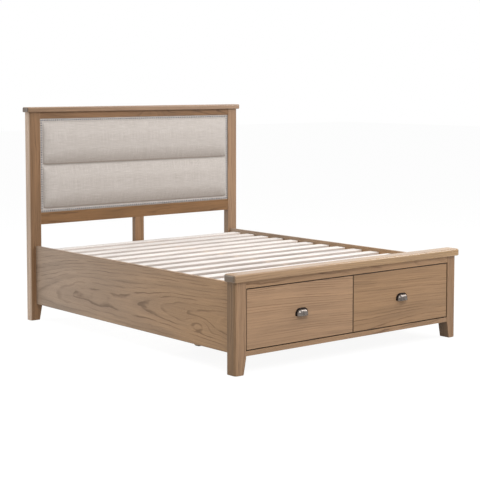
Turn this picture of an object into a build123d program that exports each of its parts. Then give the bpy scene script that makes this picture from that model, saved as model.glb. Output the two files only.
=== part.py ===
from build123d import *
from math import pi, sin
import os

# A timber bed frame with an upholstered headboard and two drawers in its footboard.
# Millimetres. X runs across the bed, -Y to the foot, +Y to the head, +Z up, floor at Z = 0.

# Driving dimensions
mattress_width = 1600
mattress_length = 2000
side_play = 3
end_play = 19
head_height = 1393
foot_height = 544
slat_top = 468
rail_top = 488
post_outer = 868
cap_overhang = 16
cap_back_overhang = 12
cap_plan_radius = 16
ease = 2

# Corner posts: the foot posts are deep and well rounded, the head posts wide and shallow
foot_post_width = 75
foot_post_depth = 72
foot_post_radius = 20
head_post_width = 84
head_post_depth = 50
head_post_radius = 16
post_arris = 3
foot_taper = 19
foot_taper_height = 98
foot_chamfer = 2

# Caps
foot_cap_thickness = 42
foot_cap_top_radius = 12
foot_cap_front_overhang = 15
head_cap_thickness = 33
head_cap_top_radius = 9
cap_bottom_bevel = 4

# Side rails and what they carry
rail_thickness = 24
rail_bottom = 106
rail_arris = 3
ledge_width = 25
ledge_height = 30
slat_count = 13
slat_width = 78
slat_thickness = 15
slat_pitch = 155.3
slat_side_gap = 6
head_slat_gap = 47
beam_width = 32
beam_height = 70
leg_side = 45
glide_thickness = 5
glide_inset = 2
glide_corner = 5
glide_bevel = 1.5
centre_leg_places = (0.48, 0.76)

# Footboard frame and its opening
bottom_rail_low = 100
opening_low = 128
opening_high = 464
rail_depth = 60
rail_recess = 2
tenon_length = 25
tenon_shoulder = 6

# Drawer bay behind the footboard
bay_side_thickness = 16
bay_partition_thickness = 18
bay_back_thickness = 22
bay_start = 30
bay_leg_front = 757
bay_leg_outer = 531

# Headboard frame and upholstery
lower_rail_low = 626
panel_low = 703
panel_high = 1318
head_rail_thickness = 32
head_rail_recess = 3
centre_post_width = 72
centre_post_thickness = 38
base_rail_low = 340
base_rail_thickness = 26
beam_housing = 20
panel_thickness = 18
panel_recess = 8
panel_groove = 8
fabric_border = 22
pad_thickness = 25
pad_seam_gap = 2
pad_end_thickness = 5
pad_end_roll = 38
pad_drawn_in = 6
pad_side_share = 0.72
pad_crown_share = 0.12
pad_bend_share = 0.22
pad_shoulder_share = 2.2
pad_slice_places = (0, 0.3, 0.65, 1)

# Drawers
front_thickness = 22
front_recess = 3
front_gap = 4
front_arris = 3
box_thickness = 15
box_low = 145
box_height = 200
box_length = 650
lap_length = 12
base_thickness = 9
base_rise = 14
base_groove = 6
tail_count = 4
tail_root_share = 0.56
tail_slope = 1 / 7

# Telescopic runners, three members to a side, measured out from the wall that carries them
runner_space = 12.7
runner_length = 600
runner_centre = 245
channel_gauge = 1.5
channel_depth = 9.5
channel_half_height = 22.5
channel_lip = 4
member_gauge = 1.2
middle_back = 2.2
middle_front = 10.6
middle_web_half = 20.3
middle_flange_half = 17
middle_lip = 4.5
carrier_front = 4.6
carrier_web_half = 11
carrier_flange_half = 10.2
carrier_lip_half = 15

# Cup pulls
pull_centre = 298
cup_half_width = 40
cup_reach = 24
cup_skirt = 12
cup_wall = 2
flange_margin = 6
flange_thickness = 2
lip_height = 3
lip_swell = 1
boss_radius = 4
boss_offset = 31
boss_length = 9

# Hook plates in the ends of the side rails, and the slotted plates in the posts that take them
plate_height = 120
plate_width = 16
plate_thickness = 2.5
plate_centre = 297
hook_spacing = 60
hook_thickness = 3
hook_reach = 12
hook_height = 18
hook_drop = 6
hook_nose_rise = 3
hook_play = 0.2
slot_length = 22
mortise_width = 8
mortise_depth = 15
mortise_height = 34

# Planes worked out from the dimensions above
inner_half = mattress_width / 2 + side_play
rail_outer = inner_half + rail_thickness
opening_half = post_outer - foot_post_width
head_opening_half = post_outer - head_post_width
front_reach = cup_reach + lip_swell - front_recess
inner_length = mattress_length + 2 * end_play
head_end = foot_post_depth + inner_length + head_post_depth + cap_back_overhang
foot_front = -(head_end - front_reach) / 2
foot_back = foot_front + foot_post_depth
head_front = foot_back + inner_length
head_back = head_front + head_post_depth
foot_post_top = foot_height - foot_cap_thickness
head_post_top = head_height - head_cap_thickness
ledge_top = slat_top - slat_thickness
beam_low = ledge_top - beam_height
base_rail_high = ledge_top
bay_side_inner = opening_half - bay_side_thickness
partition_half = bay_partition_thickness / 2
bay_back_end = foot_front + bay_leg_front
bay_back_start = bay_back_end - bay_back_thickness
front_low = opening_low + front_gap
front_high = opening_high - front_gap
front_face = foot_front + front_recess
front_back = front_face + front_thickness
box_outer = bay_side_inner - runner_space
box_inner = partition_half + runner_space
box_back_start = front_back + box_length
box_back_end = box_back_start + box_thickness
box_high = box_low + box_height
base_low = box_low + base_rise


def board(x, y, z, eased=None, size=ease, shape=fillet):
    """A sawn board between two planes on each axis, its long edges rounded or bevelled."""
    centre = Pos(sum(x) / 2, sum(y) / 2, sum(z) / 2)
    solid = centre * Box(x[1] - x[0], y[1] - y[0], z[1] - z[0])
    if eased is not None:
        solid = shape(solid.edges().filter_by(eased), size)
    return solid


def other_side(solid):
    """The same piece mirrored to the other side of the bed."""
    return mirror(solid, about=Plane.YZ)


def pair(name, left):
    """A left piece and its mirror image, each a node of its own."""
    return {f"{name}_left": left, f"{name}_right": other_side(left)}


def corner_post(width, front, depth, height, radius):
    """A left post: rounded outer front corner, and a foot whose inner side tapers."""
    outer = -post_outer
    inner = outer + width
    section = Pos((outer + inner) / 2, front + depth / 2) * Rectangle(width, depth)
    tight_corners = section.vertices().sort_by_distance((outer, front, 0))[1:]
    section = fillet(tight_corners, post_arris)
    round_corner = section.vertices().sort_by_distance((outer, front, 0))[0]
    section = fillet(round_corner, radius)
    post = extrude(section, height)
    slope = Plane.XZ * Polygon(
        (inner + post_arris, 0), (inner + post_arris, foot_taper_height),
        (inner, foot_taper_height), (inner - foot_taper, 0), align=None,
    )
    post -= Pos(0, front, 0) * extrude(slope, depth, dir=(0, 1, 0))
    return chamfer(post.faces().sort_by(Axis.Z)[0].edges(), foot_chamfer)


def cap(front, back, low, thickness, top_radius):
    """A moulded cap board: rounded in plan, round over its top arris, bevelled underneath."""
    width = 2 * (post_outer + cap_overhang)
    plan = Rectangle(width, back - front)
    plan = fillet(plan.vertices(), cap_plan_radius)
    solid = Pos(0, (front + back) / 2, low) * extrude(plan, thickness)
    solid = fillet(solid.faces().sort_by(Axis.Z)[-1].edges(), top_radius)
    return chamfer(solid.faces().sort_by(Axis.Z)[0].edges(), cap_bottom_bevel)


def tenoned_rail(half_span, y, z):
    """A cross rail with a stub tenon at each end, a third of its thickness."""
    third = (y[1] - y[0]) / 3
    rail = board((-half_span, half_span), y, z, Axis.X)
    tenon = board(
        (-half_span - tenon_length, half_span + tenon_length),
        (y[0] + third, y[1] - third),
        (z[0] + tenon_shoulder, z[1] - tenon_shoulder),
    )
    return rail + tenon


def headboard():
    """Posts, cap, three cross rails, centre post and the board that takes the fabric."""
    rail_y = (head_front + head_rail_recess, head_front + head_rail_recess + head_rail_thickness)
    base_y = (head_front + head_rail_recess, head_front + head_rail_recess + base_rail_thickness)
    centre_y = (head_front + head_rail_recess, head_front + head_rail_recess + centre_post_thickness)
    panel_y = (head_front + panel_recess, head_front + panel_recess + panel_thickness)
    panel = board(
        (-head_opening_half - panel_groove, head_opening_half + panel_groove),
        panel_y,
        (panel_low - panel_groove, panel_high + panel_groove),
    )
    top_rail = tenoned_rail(head_opening_half, rail_y, (panel_high, head_post_top)) - panel
    lower_rail = tenoned_rail(head_opening_half, rail_y, (lower_rail_low, panel_low)) - panel
    base_rail = tenoned_rail(head_opening_half, base_y, (base_rail_low, base_rail_high))
    post = corner_post(head_post_width, head_front, head_post_depth, head_post_top, head_post_radius)
    post = post - top_rail - lower_rail - base_rail - panel
    half_centre = centre_post_width / 2
    centre_post = board((-half_centre, half_centre), centre_y, (base_rail_high, lower_rail_low), Axis.Z)
    head_cap = cap(
        head_front - cap_overhang, head_back + cap_back_overhang, head_post_top,
        head_cap_thickness, head_cap_top_radius,
    )
    return pair("headboard_post", post) | {
        "headboard_cap": head_cap,
        "headboard_top_rail": top_rail,
        "headboard_lower_rail": lower_rail,
        "headboard_base_rail": base_rail - centre_beam(),
        "headboard_centre_post": centre_post,
        "headboard_panel": panel,
    }


def pad_section(x, low, high, thickness):
    """A slice through a pad: flat back, rounded shoulders and a crowned face."""
    back = head_front + panel_recess
    face = back - thickness
    side = back - thickness * pad_side_share
    crown = thickness * pad_crown_share
    shoulder = thickness * pad_shoulder_share
    bend = shoulder * pad_bend_share
    low_back = Vector(x, back, low)
    high_back = Vector(x, back, high)
    low_face = Vector(x, face + crown, low + shoulder)
    high_face = Vector(x, face + crown, high - shoulder)
    outline = [
        Line(low_back, high_back),
        ThreePointArc(high_back, Vector(x, side, high - bend), high_face),
        ThreePointArc(high_face, Vector(x, face, (low + high) / 2), low_face),
        ThreePointArc(low_face, Vector(x, side, low + bend), low_back),
    ]
    return Face(Wire(outline))


def pad(low, high):
    """One stuffed channel: full in the middle, rolled down and drawn in at both ends."""
    end = head_opening_half - fabric_border
    slices = []
    for share in pad_slice_places:
        swell = sin(share * pi / 2)
        thickness = pad_end_thickness + (pad_thickness - pad_end_thickness) * swell
        drawn_in = pad_drawn_in * (1 - swell)
        slices.append((end - share * pad_end_roll, low + drawn_in, high - drawn_in, thickness))
    left = [pad_section(-x, lower, upper, thickness) for x, lower, upper, thickness in slices]
    right = [pad_section(x, lower, upper, thickness) for x, lower, upper, thickness in reversed(slices)]
    return loft(Sketch() + left + right, ruled=True)


def headboard_pads():
    """Two stuffed fabric channels, one above the other, with a seam between them."""
    low = panel_low + fabric_border
    high = panel_high - fabric_border
    middle = (low + high) / 2
    half_seam = pad_seam_gap / 2
    return {
        "headboard_pad_lower": pad(low, middle - half_seam),
        "headboard_pad_upper": pad(middle + half_seam, high),
    }


def footboard():
    """Two posts, a cap and the two rails above and below the drawer opening."""
    rail_y = (foot_front + rail_recess, foot_front + rail_recess + rail_depth)
    top_rail = tenoned_rail(opening_half, rail_y, (opening_high, foot_post_top))
    bottom_rail = tenoned_rail(opening_half, rail_y, (bottom_rail_low, opening_low))
    post = corner_post(foot_post_width, foot_front, foot_post_depth, foot_post_top, foot_post_radius)
    foot_cap = cap(
        foot_front - foot_cap_front_overhang, foot_back + cap_back_overhang, foot_post_top,
        foot_cap_thickness, foot_cap_top_radius,
    )
    return pair("footboard_post", post - top_rail - bottom_rail) | {
        "footboard_cap": foot_cap,
        "footboard_top_rail": top_rail,
        "footboard_bottom_rail": bottom_rail,
    }


def side_rails():
    """Deep side rails between the posts, each with a ledge for the slats."""
    length = (foot_back, head_front)
    rail = board((-rail_outer, -inner_half), length, (rail_bottom, rail_top), Axis.Y, rail_arris)
    ledge = board(
        (-inner_half, -inner_half + ledge_width), length, (ledge_top - ledge_height, ledge_top),
    )
    return pair("side_rail", rail) | pair("slat_ledge", ledge)


def centre_beam():
    """The beam under the middle of the slats, let into the head rail."""
    half = beam_width / 2
    end = head_front + head_rail_recess + beam_housing
    return board((-half, half), (foot_front + bay_start, end), (beam_low, ledge_top))


def leg(x, y, high):
    """A square softwood leg that stands on its glide."""
    half = leg_side / 2
    return board((x - half, x + half), (y, y + leg_side), (glide_thickness, high), Axis.Z, shape=chamfer)


def glide(x, y):
    """A plastic glide under a leg, its corners cut off and its lower edge bevelled."""
    side = leg_side - 2 * glide_inset
    middle = y + leg_side / 2
    foot = Pos(x, middle, glide_thickness / 2) * Box(side, side, glide_thickness)
    foot = chamfer(foot.edges().filter_by(Axis.Z), glide_corner)
    return chamfer(foot.faces().sort_by(Axis.Z)[0].edges(), glide_bevel)


def legs_and_glides():
    """Legs under the centre beam and behind the drawer bay."""
    bay_x = bay_leg_outer - leg_side / 2
    bay_places = [(-bay_x, bay_back_end), (bay_x, bay_back_end)]
    centre_places = [(0, foot_back + share * inner_length) for share in centre_leg_places]
    return {
        "drawer_bay_legs": Compound([leg(x, y, beam_low) for x, y in bay_places]),
        "centre_legs": Compound([leg(x, y, beam_low) for x, y in centre_places]),
        "leg_glides": Compound([glide(x, y) for x, y in bay_places + centre_places]),
    }


def slats():
    """Thirteen pine slats from the head to the foot."""
    half = inner_half - slat_side_gap
    head_edge = head_front - head_slat_gap
    bed_slats = {}
    for number in range(slat_count):
        high_y = head_edge - number * slat_pitch
        across = (high_y - slat_width, high_y)
        slat = board((-half, half), across, (ledge_top, slat_top), Axis.X, shape=chamfer)
        bed_slats[f"slat_{number + 1:02d}"] = slat
    return bed_slats


def drawer_bay():
    """Sides, partition and back board that hold the runners behind the footboard."""
    start = foot_front + bay_start
    side = board(
        (-opening_half, -bay_side_inner), (start, bay_back_end), (opening_low, ledge_top - ledge_height),
    )
    partition = board((-partition_half, partition_half), (start, bay_back_start), (opening_low, beam_low))
    back = board((-bay_side_inner, bay_side_inner), (bay_back_start, bay_back_end), (opening_low, beam_low))
    return pair("drawer_bay_side", side) | {
        "drawer_bay_partition": partition,
        "drawer_bay_back": back,
    }


def strips(out, up):
    """Two strips of a rolled section, above and below the runner's middle."""
    size = (out[1] - out[0], up[1] - up[0])
    middle = (sum(out) / 2, sum(up) / 2)
    return [Pos(middle[0], side * middle[1]) * Rectangle(*size) for side in (-1, 1)]


def rolled_section(web, flange, lip):
    """A rolled section that is the same above and below the runner's middle."""
    return Sketch() + strips(*web) + strips(*flange) + strips(*lip)


def runner_sections():
    """Fixed channel, middle member that rides in it, and the carrier on the drawer side."""
    channel = rolled_section(
        web=((0, channel_gauge), (0, channel_half_height)),
        flange=((0, channel_depth), (channel_half_height - channel_gauge, channel_half_height)),
        lip=(
            (channel_depth - channel_gauge, channel_depth),
            (channel_half_height - channel_lip, channel_half_height),
        ),
    )
    middle = rolled_section(
        web=((middle_back, middle_back + member_gauge), (0, middle_web_half)),
        flange=((middle_back, middle_front), (middle_flange_half - member_gauge, middle_flange_half)),
        lip=(
            (middle_front - member_gauge, middle_front),
            (middle_flange_half - middle_lip, middle_flange_half),
        ),
    )
    carrier = rolled_section(
        web=((runner_space - member_gauge, runner_space), (0, carrier_web_half)),
        flange=((carrier_front, runner_space), (carrier_flange_half - member_gauge, carrier_flange_half)),
        lip=(
            (carrier_front, carrier_front + member_gauge),
            (carrier_flange_half - member_gauge, carrier_lip_half),
        ),
    )
    return {"channels": channel, "middle": middle, "drawer": carrier}


def runners():
    """The three members on each side of each drawer, rolled from steel strip."""
    nodes = {}
    for name, section in runner_sections().items():
        member = extrude(Plane.XZ * section, runner_length, dir=(0, 1, 0))
        member = Pos(0, foot_front + bay_start, runner_centre) * member
        on_side = Pos(bay_side_inner, 0, 0) * other_side(member)
        on_partition = Pos(partition_half, 0, 0) * member
        nodes[f"runner_{name}_right"] = Compound([on_side, on_partition])
        nodes[f"runner_{name}_left"] = Compound([other_side(on_side), other_side(on_partition)])
    return nodes


def tails(x, root, tip, low, high):
    """A row of dovetails on the end of a drawer side, wider at the tip than at the root."""
    pitch = (high - low) / tail_count
    half_root = pitch * tail_root_share / 2
    half_tip = half_root + abs(tip - root) * tail_slope
    row = []
    for number in range(tail_count):
        middle = low + (number + 0.5) * pitch
        outline = Plane.YZ * Polygon(
            (root, middle - half_root), (tip, middle - half_tip),
            (tip, middle + half_tip), (root, middle + half_root), align=None,
        )
        row.append(Pos(x[0], 0, 0) * extrude(outline, x[1] - x[0], dir=(1, 0, 0)))
    return row


def drawer_side(x):
    """A drawer side with lapped dovetails at the front and through dovetails at the back."""
    side = board(x, (front_back, box_back_start), (box_low, box_high))
    side = side + tails(x, front_back, front_back - lap_length, box_low, box_high)
    return side + tails(x, box_back_start, box_back_end, base_low + base_thickness, box_high)


def drawer():
    """The right drawer's five boards, dovetailed together over a grooved-in base."""
    outer_x = (box_outer - box_thickness, box_outer)
    inner_x = (box_inner, box_inner + box_thickness)
    base = board(
        (inner_x[1] - base_groove, outer_x[0] + base_groove),
        (front_back - base_groove, box_back_end),
        (base_low, base_low + base_thickness),
    )
    outer = drawer_side(outer_x) - base
    inner = drawer_side(inner_x) - base
    back_z = (base_low + base_thickness, box_high)
    back = board((box_inner, box_outer), (box_back_start, box_back_end), back_z)
    front_x = (front_gap / 2, opening_half - front_gap)
    front = board(front_x, (front_face, front_back), (front_low, front_high))
    front = fillet(front.faces().sort_by(Axis.Y)[0].edges(), front_arris)
    return {
        "front": front - outer - inner - base,
        "outer_side": outer,
        "inner_side": inner,
        "back": back - outer - inner,
        "base": base,
        "pull": Pos(sum(front_x) / 2, front_face, pull_centre) * cup_pull(),
    }


def round_bar(half_width, reach):
    """Half a round-ended bar in front of the X axis: a straight front between quarter circles."""
    centre = half_width - reach
    outline = [
        CenterArc((centre, 0), reach, 0, -90),
        Line((centre, -reach), (-centre, -reach)),
        CenterArc((-centre, 0), reach, -90, -90),
        Line((-half_width, 0), (half_width, 0)),
    ]
    return make_face(outline)


def flat_cut_bar(half_width, reach):
    """The same half bar with two flats at each end in place of the quarter circle."""
    centre = half_width - reach
    flat = reach * sin(pi / 4)
    right = [(half_width, 0), (centre + flat, -flat), (centre, -reach)]
    left = [(-x, y) for x, y in reversed(right)]
    return Polygon(*right, *left, align=None)


def bowl(plan, skirt):
    """A quarter turn of the plan over a straight skirt, open where it meets the drawer face."""
    return revolve(plan, Axis.X, -90) + extrude(plan, skirt, dir=(0, 0, -1))


def cup_pull():
    """A cast cup pull: hollow bowl, arched flange, thickened lip and two screw bosses."""
    hollow = flat_cut_bar(cup_half_width - cup_wall, cup_reach - cup_wall)
    shell = bowl(round_bar(cup_half_width, cup_reach), cup_skirt)
    lip_plan = round_bar(cup_half_width + lip_swell, cup_reach + lip_swell)
    lip = Pos(0, 0, -cup_skirt) * extrude(lip_plan, lip_height, dir=(0, 0, 1))
    rise = cup_reach + flange_margin
    arch = Plane.XZ * (Rot(180, 0, 0) * round_bar(cup_half_width + flange_margin, rise))
    below = Plane.XZ * (Pos(0, -cup_skirt / 2) * Rectangle(2 * (cup_half_width + flange_margin), cup_skirt))
    cup = shell + lip - bowl(hollow, cup_skirt)
    pull = cup + extrude(arch + below, flange_thickness, dir=(0, -1, 0))
    for side in (-1, 1):
        boss = Plane.XZ * Pos(side * boss_offset, 0) * Circle(boss_radius)
        pull += extrude(boss, boss_length, dir=(0, -1, 0))
    return Pos(0, 0, (cup_skirt - rise) / 2) * pull


def hook():
    """One hook: its neck passes through the slot and its nose hangs behind the plate."""
    behind = plate_thickness + hook_play
    return Polygon(
        (-plate_thickness, hook_drop), (behind, hook_drop), (behind, 0), (hook_reach, hook_nose_rise),
        (hook_reach, hook_height), (-plate_thickness, hook_height), align=None,
    )


def rail_joint():
    """Hook plate, slotted plate, and what they take out of the rail and of the post.

    Drawn with the joint's plane at Y = 0, the post towards +Y and the rail towards -Y.
    """
    size = (plate_width, plate_thickness, plate_height)
    hook_plate = Pos(0, -plate_thickness / 2, 0) * Box(*size)
    slot_plate = Pos(0, plate_thickness / 2, 0) * Box(*size)
    mortises = Pos(0, plate_thickness / 2, 0) * Box(*size)
    for rise in (-hook_spacing / 2, hook_spacing / 2):
        low = rise - hook_height / 2
        blade = extrude(Plane.YZ * Pos(0, low) * hook(), hook_thickness, dir=(1, 0, 0))
        hook_plate += Pos(-hook_thickness / 2, 0, 0) * blade
        slot = Box(hook_thickness + 2 * hook_play, plate_thickness, slot_length)
        slot_plate -= Pos(0, plate_thickness / 2, low + hook_drop + slot_length / 2) * slot
        mortise = Box(mortise_width, mortise_depth, mortise_height)
        mortises += Pos(0, mortise_depth / 2, low + mortise_height / 2 - hook_drop) * mortise
    recess = Pos(0, -plate_thickness / 2, 0) * Box(*size)
    return hook_plate, slot_plate, recess, mortises


def fit_rail_joints(nodes):
    """Puts a hook joint at both ends of the right rail, and cuts the rail and posts for it."""
    x = (inner_half + rail_outer) / 2
    places = {
        "headboard_post_right": Location((x, head_front, plate_centre)),
        "footboard_post_right": Location((x, foot_back, plate_centre), (0, 0, 180)),
    }
    hook_plates = []
    slot_plates = []
    for post, place in places.items():
        hook_plate, slot_plate, recess, mortises = rail_joint()
        hook_plates.append(place * hook_plate)
        slot_plates.append(place * slot_plate)
        nodes[post] -= place * mortises
        nodes["side_rail_right"] -= place * recess
    nodes["rail_hook_plates"] = Compound(hook_plates + [other_side(plate) for plate in hook_plates])
    nodes["post_slot_plates"] = Compound(slot_plates + [other_side(plate) for plate in slot_plates])
    for name in ("footboard_post", "headboard_post", "side_rail"):
        nodes[f"{name}_left"] = other_side(nodes[f"{name}_right"])


def whole_bed():
    """Every node of the bed by name."""
    nodes = headboard() | headboard_pads() | footboard() | side_rails()
    nodes |= {"centre_beam": centre_beam()} | legs_and_glides() | slats() | drawer_bay() | runners()
    for name, solid in drawer().items():
        nodes[f"drawer_{name}_right"] = solid
        nodes[f"drawer_{name}_left"] = other_side(solid)
    fit_rail_joints(nodes)
    return nodes


os.makedirs("parts", exist_ok=True)
for node, shape in whole_bed().items():
    export_step(shape, f"parts/{node}.step")
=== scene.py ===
from math import cos, pi, radians, sin
from random import Random
import bmesh
import bpy
from mathutils import Matrix, Vector


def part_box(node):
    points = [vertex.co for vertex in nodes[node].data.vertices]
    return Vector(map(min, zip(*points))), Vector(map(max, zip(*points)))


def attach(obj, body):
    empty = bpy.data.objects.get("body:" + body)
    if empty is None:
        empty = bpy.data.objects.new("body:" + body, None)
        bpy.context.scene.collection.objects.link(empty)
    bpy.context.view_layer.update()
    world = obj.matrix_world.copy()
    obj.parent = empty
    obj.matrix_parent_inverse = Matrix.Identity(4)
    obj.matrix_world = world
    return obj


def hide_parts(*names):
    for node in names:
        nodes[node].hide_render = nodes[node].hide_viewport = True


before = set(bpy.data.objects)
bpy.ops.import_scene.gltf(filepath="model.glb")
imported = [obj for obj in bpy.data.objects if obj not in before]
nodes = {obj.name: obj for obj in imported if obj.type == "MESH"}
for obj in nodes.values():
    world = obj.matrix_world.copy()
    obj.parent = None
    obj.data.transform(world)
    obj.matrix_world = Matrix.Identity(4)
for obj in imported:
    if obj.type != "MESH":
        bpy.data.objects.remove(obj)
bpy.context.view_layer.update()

# Corner posts
# Four solid oak posts, the foot pair well rounded on the outer front corner, with feet tapered
# inside. The timber is stained, brushed and lacquered, and its figure runs through the solid.


def paint(red, green, blue):
    """A colour read off a paint chart, 0 to 255, as the shaders want it."""
    shares = [value / 255 for value in (red, green, blue)]
    linear = [s / 12.92 if s <= 0.04045 else ((s + 0.055) / 1.055) ** 2.4 for s in shares]
    return (*linear, 1.0)


def add(tree, kind, inputs=None, **settings):
    """A node of one kind, with its settings, its inputs set to values or joined to sockets."""
    node = tree.nodes.new(kind)
    for name, value in settings.items():
        setattr(node, name, value)
    for name, value in (inputs or {}).items():
        if isinstance(value, bpy.types.NodeSocket):
            tree.links.new(value, node.inputs[name])
        else:
            node.inputs[name].default_value = value
    return node


def maths(tree, operation, *values, kind="ShaderNodeMath"):
    """The result of one sum, plain or on vectors."""
    return add(tree, kind, dict(enumerate(values)), operation=operation).outputs[0]


def vectors(tree, operation, *values):
    """The result of one sum on vectors."""
    return maths(tree, operation, *values, kind="ShaderNodeVectorMath")


def noise(tree, vector, stretch, detail=2.0):
    """Smooth noise from 0 to 1, with that many features to a metre on each axis."""
    where = vectors(tree, "MULTIPLY", vector, stretch)
    return add(tree, "ShaderNodeTexNoise", {"Vector": where, "Scale": 1.0, "Detail": detail}).outputs


def ramp(tree, value, start, end, low=0.0, high=1.0):
    """A smooth step of the value from start to end."""
    inputs = {"Value": value, "From Min": start, "From Max": end, "To Min": low, "To Max": high}
    return add(tree, "ShaderNodeMapRange", inputs, interpolation_type="SMOOTHSTEP").outputs["Result"]


def blend_colour(tree, share, first, second, blend_type="MIX"):
    """Two colours mixed by a share that changes over the surface."""
    node = add(tree, "ShaderNodeMix", data_type="RGBA", blend_type=blend_type)
    for place, value in ((0, share), (6, first), (7, second)):
        if isinstance(value, bpy.types.NodeSocket):
            tree.links.new(value, node.inputs[place])
        else:
            node.inputs[place].default_value = value
    return node.outputs[2]


def effect(name, inputs, outputs):
    """An empty shader group with named inputs and outputs."""
    tree = bpy.data.node_groups.new(name, "ShaderNodeTree")
    for label, kind in inputs.items():
        tree.interface.new_socket(label, in_out="INPUT", socket_type=f"NodeSocket{kind}")
    for label in outputs:
        tree.interface.new_socket(label, in_out="OUTPUT", socket_type="NodeSocketFloat")
    return tree, tree.nodes.new("NodeGroupInput").outputs, tree.nodes.new("NodeGroupOutput").inputs


# The timber's figure. A stretch is the number of features to a metre along the board, across it and
# through it, and a pair of levels is where a mask starts and where it is full.
drift_stretch = (0.7, 1.8, 1.8)
ripple_stretch = (7.0, 17.0, 17.0)
ripple_share = 0.11
knot_stretch = (1.6, 5.0, 0.6)
knot_chance = 0.68
knot_reach = 0.3
knot_core = (0.018, 0.05)
knot_bulge = 0.03
year_curve = 1.3
year_least = 0.25
late_wood_starts = (0.58, 0.82)
late_wood_ends = (0.88, 0.97)
break_stretch = (5.0, 26.0, 26.0)
break_levels = (0.34, 0.58)
band_stretch = (1.1, 75.0, 9.0)
patch_stretch = (2.2, 8.0, 8.0)
soft_levels = (0.3, 0.7)
streak_stretch = (5.0, 230.0, 230.0)
streak_levels = (0.35, 0.65)
pore_stretch = (60.0, 1100.0, 1100.0)
pore_levels = (0.6, 0.72)
early_wood_ends = (0.2, 0.6)
late_wood_pores = 0.25


def distance_from_heart(tree, given, place, along):
    """The distance from a heart that leans along the board and drifts, with a ripple in it."""
    drift = vectors(tree, "SUBTRACT", noise(tree, place, drift_stretch, 1.0)["Color"], (0.5, 0.5, 0.5))
    drift = vectors(tree, "MULTIPLY", drift, given["Wander"])
    leaning = vectors(tree, "MULTIPLY", given["Lean"], along)
    from_heart = vectors(tree, "SUBTRACT", vectors(tree, "ADD", given["Board"], drift), given["Heart"])
    from_heart = vectors(tree, "MULTIPLY", vectors(tree, "ADD", from_heart, leaning), (0.0, 1.0, 1.0))
    radius = add(tree, "ShaderNodeVectorMath", {0: from_heart}, operation="LENGTH").outputs["Value"]
    ripple = maths(tree, "SUBTRACT", noise(tree, place, ripple_stretch, 2.0)["Fac"], 0.5)
    ripple_size = maths(tree, "MULTIPLY", given["Wander"], ripple_share)
    return maths(tree, "MULTIPLY_ADD", ripple, ripple_size, radius)


def knot_cells(tree, place):
    """How the rings bulge round a few knots, and each knot's dark core."""
    cells = vectors(tree, "MULTIPLY", place, knot_stretch)
    cell = add(tree, "ShaderNodeTexVoronoi", {"Vector": cells, "Scale": 1.0}).outputs
    chance = add(tree, "ShaderNodeSeparateColor", {0: cell["Color"]}).outputs[0]
    picked = maths(tree, "GREATER_THAN", chance, knot_chance)
    bulge = maths(tree, "MULTIPLY", picked, ramp(tree, cell["Distance"], 0.0, knot_reach, 1.0, 0.0))
    core = maths(tree, "MULTIPLY", picked, ramp(tree, cell["Distance"], *knot_core, 1.0, 0.0))
    return bulge, core


def late_wood(tree, rings, growth, seed):
    """The dark line that ends each year's ring, stronger in some years than in others."""
    ring = maths(tree, "ADD", maths(tree, "FLOOR", rings), seed)
    year = add(tree, "ShaderNodeTexWhiteNoise", {"W": ring}, noise_dimensions="1D").outputs["Value"]
    strength = maths(tree, "POWER", year, year_curve)
    strength = maths(tree, "MULTIPLY_ADD", strength, 1 - year_least, year_least)
    ending = ramp(tree, growth, *late_wood_ends, 1.0, 0.0)
    late = maths(tree, "MULTIPLY", ramp(tree, growth, *late_wood_starts), ending)
    return maths(tree, "MULTIPLY", late, strength)


def make_timber_figure():
    """Growth rings round a wandering heart, with knots, pores, broad bands and fine streaks."""
    tree, given, made = effect(
        "timber_figure",
        {"Board": "Vector", "Heart": "Vector", "Lean": "Vector", "Wander": "Float", "Pitch": "Float",
         "Seed": "Float"},
        ["Bands", "Lines", "Pores", "Streaks", "Patches", "Knots"],
    )
    seeds = add(tree, "ShaderNodeCombineXYZ", {axis: given["Seed"] for axis in "XYZ"}).outputs[0]
    place = vectors(tree, "ADD", given["Board"], seeds)
    along = add(tree, "ShaderNodeSeparateXYZ", {0: given["Board"]}).outputs[0]
    bulge, knots = knot_cells(tree, place)
    from_heart = distance_from_heart(tree, given, place, along)
    radius = maths(tree, "MULTIPLY_ADD", bulge, knot_bulge, from_heart)
    rings = maths(tree, "DIVIDE", radius, given["Pitch"])
    growth = maths(tree, "FRACT", rings)
    late = late_wood(tree, rings, growth, given["Seed"])
    broken = ramp(tree, noise(tree, place, break_stretch, 3.0)["Fac"], *break_levels)
    layers = add(tree, "ShaderNodeCombineXYZ", {"X": along, "Y": radius, "Z": given["Seed"]}).outputs[0]
    pores = ramp(tree, noise(tree, place, pore_stretch, 1.0)["Fac"], *pore_levels)
    crowded = ramp(tree, growth, *early_wood_ends, 1.0, late_wood_pores)
    masks = {
        "Bands": ramp(tree, noise(tree, layers, band_stretch, 3.0)["Fac"], *soft_levels),
        "Lines": maths(tree, "MULTIPLY", late, broken),
        "Pores": maths(tree, "MULTIPLY", pores, crowded),
        "Streaks": ramp(tree, noise(tree, place, streak_stretch, 3.0)["Fac"], *streak_levels),
        "Patches": ramp(tree, noise(tree, place, patch_stretch, 2.0)["Fac"], *soft_levels),
        "Knots": knots,
    }
    for name, value in masks.items():
        tree.links.new(value, made[name])
    return tree


ragged_stretch = (35.0, 35.0, 35.0)
full_arris_mix = 0.8


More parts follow.
